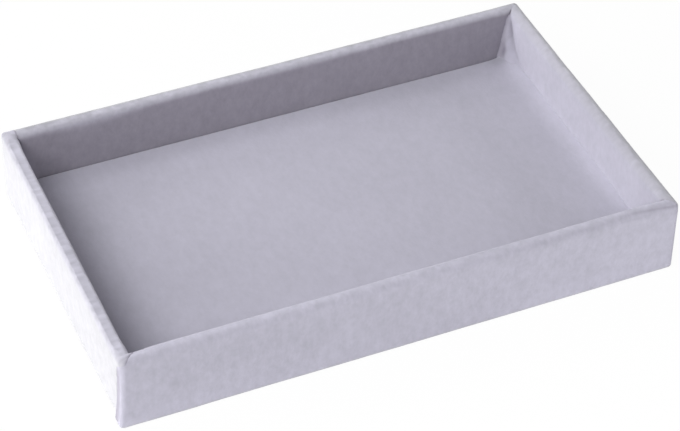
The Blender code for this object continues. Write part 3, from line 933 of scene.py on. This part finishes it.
# One strip of velvet. Its face is the carried section, moved along its normal by the ripples and the nap, less
# the creases and the roll of its cut edges, which is drop * (1 - sqrt(1 - q * r^2)) for the share r of the
# roll's width and its quarter q. Where the strip laps round a corner it is pushed out. Its back lies one
# thickness under the section.
def makeWrap(side):
    s, lining, seed = wrapSettings, liningSettings[side], wrapSettings["seeds"][side]
    section, ownSection = makeWrapSection(s["rimAtCorners"]), makeWrapSection(s["rim"][side])
    names = sides[side]["ends"]
    corners = [cornerRows(name, side, section) for name in names]
    halfAlong = halvesOf(side)[0]
    straightColumns = int(2 * (halfAlong - s["cornerReach"]) / s["columnPitch"])
    surface = sideSurface(side, section, corners, s["cornerReach"], s["cornerColumns"], straightColumns, s["crowd"])
    points, toEnd, length, fromMitre = (surface[key] for key in ("points", "toEnd", "length", "fromMitre"))
    arc = np.broadcast_to(section["arc"][:, None], length.shape)
    nearFirst = np.arange(toEnd.shape[1]) < toEnd.shape[1] // 2
    noiseAlong = length + s["noiseFrom"]

    # What each row has at the nearer of its two corners
    def rowValue(key):
        return np.where(nearFirst, corners[0][key][:, None], corners[1][key][:, None])

    # Away from the corners the rim takes the roundness of its own side
    ownShare = easeBetween(fromMitre, s["ownRimFrom"], s["cornerReach"])
    ownIn = (ownSection["inset"] - section["inset"])[:, None] * ownShare
    points[..., :2] -= surface["outward"] * ownIn[..., None]
    points[..., 2] += (ownSection["height"] - section["height"])[:, None] * ownShare
    flatPoints = points.copy()
    # The painted light and shade of this strip, with the painted shade and light of its folds added below
    lean, paintedLightAndNap = np.zeros_like(toEnd), paintedLightAt(points, paintedLightSettings[side])
    for name in names:
        if cornerSettings[name]["owner"] == side and cornerSettings[name]["reach"] is not None:
            near = nearFirst if name == names[0] else ~nearFirst
            foldPaintedShade, foldLightAndShade = drawFold(points, side, name, rowValue("opened") * near)
            lean, paintedLightAndNap = np.maximum(lean, foldPaintedShade), paintedLightAndNap + foldLightAndShade

    # Ripples of the cloth, rolled cut edges, and pressed creases with painted shade along them
    leastCalm, calmWidth = s["calm"]
    calm = leastCalm + (1 - leastCalm) * easeBetween(toEnd, 0, calmWidth)
    ripple = np.zeros_like(toEnd)
    for step, (size, rise) in enumerate(s["ripples"] + s["smallRipples"]):
        share = calm if step < len(s["ripples"]) else 1
        ripple = ripple + softNoise(noiseAlong, arc, size, seed + step) * rise * share
    underPad = (section["height"] < tray["padTop"] - s["padHides"]) & (section["inset"] > tray["wall"] - hair)
    hidden = (section["faceUp"] < facingDown["turned"]) | underPad
    ripple = ripple * np.where(hidden, s["hiddenRipple"], 1.0)[:, None]
    upward = np.clip(section["faceUp"], 0, 1)[:, None]
    napSize, napHeight = s["nap"]
    nap = softNoise(noiseAlong, arc, napSize, seed + 6) * upward
    ripple = ripple + nap * napHeight
    paintedLightAndNap = paintedLightAndNap + nap * lining["rimNap"]
    roll = np.clip(1 - toEnd / (s["seamRound"] * rowValue("rolled")), 0, 1)
    d = dashSettings
    uneven = softNoise(arc + d["from"][0], arc * 0 + d["from"][1], d["size"], seed + 5)
    dashes = np.clip(d["middle"] + d["range"] * uneven, *d["limits"])
    rolledDown = 1 - np.sqrt(1 - s["rollQuarter"] * roll**2)
    drop = rowValue("drop") * (d["steady"] + (1 - d["steady"]) * dashes) * rolledDown
    creaseDepth, paintedSeamShade = np.zeros_like(toEnd), np.zeros_like(toEnd)
    for crease in creaseSettings[side]:
        share = creaseShare(points, crease)
        creaseDepth = creaseDepth + share * crease["depth"]
        paintedSeamShade = np.maximum(paintedSeamShade, share * crease["shade"])
    face = points + surface["normal"] * (ripple - drop - creaseDepth)[..., None]
    proudFrom, proudWhole = s["proudEases"]
    proud = rowValue("proud") * easeBetween(-fromMitre, -proudFrom, -proudWhole) * np.where(nearFirst, -1, 1)
    proud = np.where(rowValue("proud") < 0, proud * easeBetween(toEnd, 0, s["sunkEases"]), proud)
    face[..., :2] += proud[..., None] * np.array(sides[side]["along"])
    back = points - surface["normal"] * s["thickness"]

    # The darker pile inside, partly painted shade; painted shade beside the laps and along the cut edges; and the
    # grey of the edges
    innerDepth = np.where(section["faceIn"] > facing["lining"], tray["top"] - section["height"], 0)[:, None]
    start, fade = lining["depths"]
    if "late" in lining:
        latePlace, lateWidth, lateBy = lining["late"]
        fade = fade + lateBy * bell(length, latePlace, lateWidth)
    wanderSize, wander = s["fadeWander"]
    fade = fade + wander * softNoise(noiseAlong, arc * 0, wanderSize, seed + 4)
    lean = np.maximum(lean, lining["share"] * easeBetween(innerDepth, start, fade))
    turned = np.clip(-fromMitre / s["turnedWidth"], 0, 1) * rowValue("lapped")
    lean = np.maximum(lean, s["turnedLean"] * turned)
    paintedShadeBeside = rowValue("shade") * (1 - easeBetween(toEnd, rowValue("shadeFrom"), rowValue("shadeTo")))
    lean = lean + (1 - lean) * paintedShadeBeside
    # Painted shade along the cut edges where they roll down, joined with that of the creases
    paintedEdgeShade = np.exp(-toEnd / (s["seamShade"] * rowValue("rolled") ** s["seamSpread"])) * dashes
    paintedEdgeShade = paintedEdgeShade * np.clip(rowValue("drop") / s["seamDrop"], 0, 1)
    paintedSeamShade = np.clip(np.maximum(paintedSeamShade, paintedEdgeShade), 0, 1)
    topGrey, rimGrey, faceGrey, footGrey = lining["grey"]
    up = np.sqrt(upward[:, 0])
    edge = np.where(section["faceIn"] < facing["outer"], faceGrey + (rimGrey - faceGrey) * up, topGrey * up)
    edge = np.where(section["height"] < s["footTop"], footGrey, edge)
    greyGone, greyWhole = s["greyEnds"]
    edge = edge[:, None] * easeBetween(fromMitre, -greyGone, -greyWhole)
    tint = tintOf(lean, paintedSeamShade, paintedLightAndNap, edge)

    uv = np.stack([length, arc], -1)
    grid = np.stack([face, back]), uv, np.stack([tint, tint]), allEdges
    piece = clothFromGrids("velvet_" + side, [grid])
    piece.data.materials.append(calmVelvet if side == "right" else wrapVelvet)
    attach(piece, "root")
    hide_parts("wrap_" + side)


for side in sides:
    makeWrap(side)


# Floor pad: a velvet cover over the greyboard, drawn round its edges and turned under
padSettings = {
    "thickness": 0.7 * mm,
    "edgeRadius": 1.0 * mm,
    "turnUnder": 13 * mm,
    "slitGap": 0.2 * mm,
    "pitch": 1.2 * mm,
    "cornerColumns": 5,
    "flatBefore": 0.4 * mm,  # the slits start this far in from the round, and one thickness more
    "squareSpan": 1 * mm,  # the right edge's round is drawn up square over its radius and this much before it
    "rideUp": 2.3 * mm,  # how far the edge by the right wall has ridden up
    "rideSpan": 9 * mm,
    "ridePower": 2.2,
    "rideFront": (0.45, -60 * mm, -20 * mm),  # share of that left at the front, and where it ends and is whole
    "press": 0.5 * mm,  # how far that edge is pressed into the lining
    "cornerRise": 0.8 * mm,  # the back right corner, pushed up by the fold in the lining
    "cornerSpan": 7 * mm,
    "ripples": ((37 * mm, 0.10 * mm), (13 * mm, 0.035 * mm), (4.1 * mm, 0.012 * mm)),
    "seed": 71,  # of the first ripple; each next one has the next seed
    "noiseFrom": 1,
    "settled": 0.05 * mm,  # how far the face lies lower than its board and cloth would put it
    "calm": (0.2, 9 * mm),  # share of those left at an edge, and how far from it they are whole
    # Painted light and shade: place, spread and gain
    "paintedLightAndNap": [
        ((0, 56, 10), (200, 6.5, 20), 0.07),
        ((84, -5, 10), (20, 75, 20), -0.065),
        ((115.5, -5, 12), (3.4, 75, 20), 0.14),
        ((112, 60, 12), (3.5, 7, 20), 0.07),
        ((108.5, 66.5, 11), (5, 3.6, 20), -0.20),
        ((64, 60, 10), (40, 12, 20), -0.085),
        ((-72, 15, 10), (18, 50, 20), 0.035),
        ((45, 5, 10), (30, 40, 20), -0.035),
        ((-75, -38, 10), (35, 14, 20), 0.05),
        ((-15, -49, 10), (85, 9, 20), 0.075),
        ((-92, 36, 10), (14, 26, 20), -0.03),
        ((-104.5, 0, 10), (5, 90, 20), 0.06),
    ],
}


# How far the pad's face lies above flat: three sizes of soft noise, calm towards the edges, a power curve up to
# the right wall, and a bell at the back right corner
def padRise(x, y):
    s = padSettings
    halfX, halfY = tray["halfLength"] - tray["padInset"], tray["halfDepth"] - tray["padInset"]
    edge = np.clip((x - (halfX - s["rideSpan"])) / s["rideSpan"], 0, 1)
    atFront, frontEnd, frontStart = s["rideFront"]
    frontShare = easeBetween(y, frontEnd, frontStart)
    rise = s["rideUp"] * edge ** s["ridePower"] * (atFront + (1 - atFront) * frontShare)
    rise = rise + s["cornerRise"] * bell(np.hypot(x - halfX, y - halfY), 0, s["cornerSpan"])
    leastCalm, calmWidth = s["calm"]
    calm = easeBetween(np.minimum(halfX - np.abs(x), halfY - np.abs(y)), 0, calmWidth)
    latticeX, latticeY = x + s["noiseFrom"], y + s["noiseFrom"]
    noise = 0
    for step, (size, high) in enumerate(s["ripples"]):
        noise = noise + softNoise(latticeX, latticeY, size, s["seed"] + step) * high
    return rise + (noise - s["settled"]) * (leastCalm + (1 - leastCalm) * calm)


# The pad's cover: its face is the rise over a flat grid, and a section carried round it goes down the edge and
# in under the board, slit at the corners. The right edge is pressed into the lining.
def makePad():
    s = padSettings
    inset, radius, top, low = tray["padInset"], s["edgeRadius"], tray["padTop"], padLow.z
    halfX, halfY = tray["halfLength"] - inset - radius, tray["halfDepth"] - inset - radius
    columnsX, columnsY = int(2 * halfX / s["pitch"]), int(2 * halfY / s["pitch"])
    x, y = np.meshgrid(np.linspace(-halfX, halfX, columnsX), np.linspace(-halfY, halfY, columnsY))
    turnFrom = inset + radius  # inset at which the cover lies flat, above and below
    section = joinRuns(
        [
            quarterRun((turnFrom, top - radius), (radius, radius), 90, 180, 7),
            straightRun((inset, top - radius), (inset, low + radius), (-1, 0), 4),
            quarterRun((turnFrom, low + radius), (radius, radius), 180, 270, 6),
            straightRun((turnFrom, low), (inset + s["turnUnder"], low), (0, -1), 9),
        ]
    )
    slitFrom = turnFrom + s["thickness"] + s["flatBefore"]
    slitRow = int(np.argmax((section["faceUp"] < facingDown["flat"]) & (section["inset"] > slitFrom)))
    size = np.where(section["inset"] > turnFrom + hair, 0.0, np.maximum(turnFrom - section["inset"], 0))
    corner = {"size": size, "halfTurn": size * math.pi / 4, "bridge": size * 0, "end": size * 0}

    # A grid whose tint is that of its painted light and shade alone
    def asGrid(front, back, uv, openEdges):
        layers = np.stack([front, back])
        plain = np.zeros(layers.shape[:-1])
        return layers, uv, tintOf(plain, plain, paintedLightAt(layers, s["paintedLightAndNap"]), plain), openEdges

    # What stays open on a turned part: its last row, and both its ends from the slit on
    def slitEdges(number):
        slit = number[slitRow - 1:]
        return number[-1], slit[:, 0], slit[::-1, -1]

    face = np.stack([x, y, top + padRise(x, y)], -1)
    grids = [asGrid(face, face - np.array((0, 0, s["thickness"])), face[..., :2], lambda number: ())]
    for side in sides:
        straightColumns = columnsX if side in ("front", "back") else columnsY
        surface = sideSurface(side, section, [corner, corner], 0, s["cornerColumns"], straightColumns)
        points = surface["points"].copy()
        slit = np.array(sides[side]["along"]) * s["slitGap"] / 2
        points[slitRow:, :s["cornerColumns"], :2] += slit
        points[slitRow:, -s["cornerColumns"]:, :2] -= slit
        settle = easeBetween(section["height"], low, top)[:, None]
        points[..., 2] += padRise(points[..., 0], points[..., 1]) * settle
        rolled = (section["height"] > top - radius - hair)[:, None] * (top - section["height"])[:, None]
        points[..., 2] += rolled * easeBetween(points[..., 0], halfX - s["squareSpan"], halfX + radius)
        points[..., 0] += s["press"] * easeBetween(points[..., 0], halfX, halfX + radius) * settle
        uv = surface["points"][:1, :, :2] + surface["outward"] * section["arc"][:, None, None]
        grids.append(asGrid(points, points - surface["normal"] * s["thickness"], uv, slitEdges))
    piece = clothFromGrids("floor_pad_velvet", grids)
    weld(piece)
    piece.data.materials.append(padVelvet)
    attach(piece, "root")
    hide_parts("pad_cover")


makePad()


# Thin flocked sheet over the underside
baseSheetSettings = {
    "corner": 3 * mm,
    "cornerSteps": 5,
    "pitch": 3 * mm,
    "ripple": (17 * mm, 0.03 * mm),
    "seed": 91,
    "noiseFrom": 1,
    "tint": 0.9,
}


# A flat grid whose corner squares are drawn in to quarter rounds: each point keeps its bearing from the
# corner's centre, and its distance becomes the larger of its two offsets
def makeBaseSheet():
    s = baseSheetSettings
    low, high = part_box("base_sheet")
    corner = s["corner"]

    # Even steps along the straight, and the corner's own steps past both its ends
    def axis(half):
        straight = half - corner
        ends = straight + corner * np.linspace(0, 1, s["cornerSteps"] + 1)[1:]
        return np.concatenate([-ends[::-1], np.linspace(-straight, straight, int(2 * straight / s["pitch"])), ends])

    x, y = np.meshgrid(axis(high.x), axis(high.y))
    overX, overY = np.maximum(np.abs(x) - (high.x - corner), 0), np.maximum(np.abs(y) - (high.y - corner), 0)
    away = np.hypot(overX, overY)
    scale = np.where(away > 0, np.maximum(overX, overY) / np.maximum(away, hair), 1)
    x = x - np.sign(x) * overX * (1 - scale)
    y = y - np.sign(y) * overY * (1 - scale)
    size, rise = s["ripple"]
    ripple = (softNoise(x + s["noiseFrom"], y + s["noiseFrom"], size, s["seed"]) + 1) / 2 * rise
    lower = np.stack([x, y, low.z + ripple], -1)
    upper = np.stack([x, y, np.full_like(x, high.z)], -1)
    layers = np.stack([upper, lower])
    grid = layers, upper[..., :2], np.full_like(layers, s["tint"]), allEdges
    piece = clothFromGrids("base_sheet_flocked", [grid])
    piece.data.materials.append(padVelvet)
    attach(piece, "root")
    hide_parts("base_sheet")
    print("base sheet made")


makeBaseSheet()


# Floor, lights and camera
stageSettings = {
    "floorHalf": 6.0,
    "floorColour": (0.93, 0.93, 0.93, 1),
    "seenWhite": 0.96,  # share of the floor that the camera sees as plain white, over its own shadowed colour
    "worldColour": (1.0, 1.0, 1.0, 1),
    "worldStrength": 0.383,
    "white": {"Color": (1, 1, 1, 1), "Strength": 1.0},
    "lamps": {
        # round from the left side of the tray towards its front in degrees, up in degrees, distance, size, watts
        "windowLeft": (5, 12, 1.5, 0.8, 13.2),
        "windowFrontLeft": (40, 45, 1.5, 0.8, 11.5),
        "lampBackLeft": (-36, 34, 0.75, 0.4, 2.1),
        "cardFrontRight": (125, 12, 0.55, 0.3, 0.64),
    },
}
trayLength = 0.240  # the camera's distance and shifts are counted in it
cameraSettings = {
    "azimuth": -23.62,
    "elevation": 41.24,
    "roll": 0.63,
    "distance": 4.262 * trayLength,
    "shiftRight": 0.009 * trayLength,
    "shiftUp": -0.029 * trayLength,
    "sensor": 36,
    "clipStart": 0.05,
    "lens": 2460 * 36 / 680,  # focal length in pixels, times the sensor's width over the picture's
}


# 1 for what the camera sees, straight, in a mirror or through glass, and 0 for light that falls on the tray
def seenShare(tree):
    path = addNode(tree, "ShaderNodeLightPath")
    seen = calculate(tree, "ADD", path["Is Camera Ray"], path["Is Glossy Ray"])
    return calculate(tree, "ADD", seen, path["Is Transmission Ray"], clamp=True)


# A pale matt floor, mixed towards plain white where it is seen
def makeFloor():
    s = stageSettings
    half = s["floorHalf"]
    corners = np.array([(-half, -half, 0), (half, -half, 0), (half, half, 0), (-half, half, 0)])
    floor = meshFromArrays("studio_floor", corners, np.array([[0, 1, 2, 3]]), corners[:, :2])
    material, tree, shader = newMaterial("studio_floor", s["floorColour"][:3])
    setInputs(tree, shader, {"Base Color": s["floorColour"], "Roughness": 1, "Specular IOR Level": 0})
    white = addNode(tree, "ShaderNodeEmission", inputs=s["white"])[0]
    share = calculate(tree, "MULTIPLY", seenShare(tree), s["seenWhite"])
    mix = addNode(tree, "ShaderNodeMixShader", inputs={0: share, 1: shader.outputs[0], 2: white})[0]
    setInputs(tree, tree.nodes["Material Output"], {"Surface": mix})
    floor.data.materials.append(material)


# An even light from all round, and plain white where it is seen
def makeWorld():
    s = stageSettings
    world = bpy.data.worlds.new("studio")
    bpy.context.scene.world = world
    world.use_nodes = True
    tree = world.node_tree
    background = tree.nodes["Background"]
    setInputs(tree, background, {"Color": s["worldColour"], "Strength": s["worldStrength"]})
    plain = addNode(tree, "ShaderNodeBackground", inputs=s["white"])[0]
    mix = addNode(tree, "ShaderNodeMixShader", inputs={0: seenShare(tree), 1: background.outputs[0], 2: plain})[0]
    setInputs(tree, tree.nodes["World Output"], {"Surface": mix})


# A square soft light, placed by its bearing and rise round the tray and turned to its middle
def makeLamp(name, turn, rise, distance, size, power):
    bearing, elevation = math.radians(turn), math.radians(rise)
    level = math.cos(elevation) * distance
    place = (-math.cos(bearing) * level, -math.sin(bearing) * level, math.sin(elevation) * distance)
    light = bpy.data.lights.new(name, "AREA")
    light.shape = "SQUARE"
    light.size = size
    light.energy = power
    lamp = bpy.data.objects.new(name, light)
    bpy.context.scene.collection.objects.link(lamp)
    lamp.location = place
    lamp.rotation_euler = (-Vector(place)).to_track_quat("-Z", "Y").to_euler()


# A camera that looks at the tray's middle along its azimuth and elevation, rolled about that line, and moved
# aside by its shifts
def makeCamera():
    s = cameraSettings
    azimuth, elevation, roll = (math.radians(s[key]) for key in ("azimuth", "elevation", "roll"))
    level = math.cos(elevation)
    back = Vector((math.sin(azimuth) * level, -math.cos(azimuth) * level, math.sin(elevation)))
    right = Vector((math.cos(azimuth), math.sin(azimuth), 0))
    up = back.cross(right)
    rolledRight = right * math.cos(roll) + up * math.sin(roll)
    rolledUp = up * math.cos(roll) - right * math.sin(roll)
    data = bpy.data.cameras.new("camera")
    data.lens = s["lens"]
    data.sensor_width = s["sensor"]
    data.clip_start = s["clipStart"]
    camera = bpy.data.objects.new("camera", data)
    bpy.context.scene.collection.objects.link(camera)
    centre = Vector((0, 0, tray["top"] / 2))
    camera.location = centre + back * s["distance"] + rolledRight * s["shiftRight"] + rolledUp * s["shiftUp"]
    camera.rotation_euler = Matrix((rolledRight, rolledUp, back)).transposed().to_euler()
    bpy.context.scene.camera = camera


makeFloor()
makeWorld()
for name, values in stageSettings["lamps"].items():
    makeLamp(name, *values)
makeCamera()
bpy.context.scene.view_settings.view_transform = "Standard"
print("stage, lights and camera made")
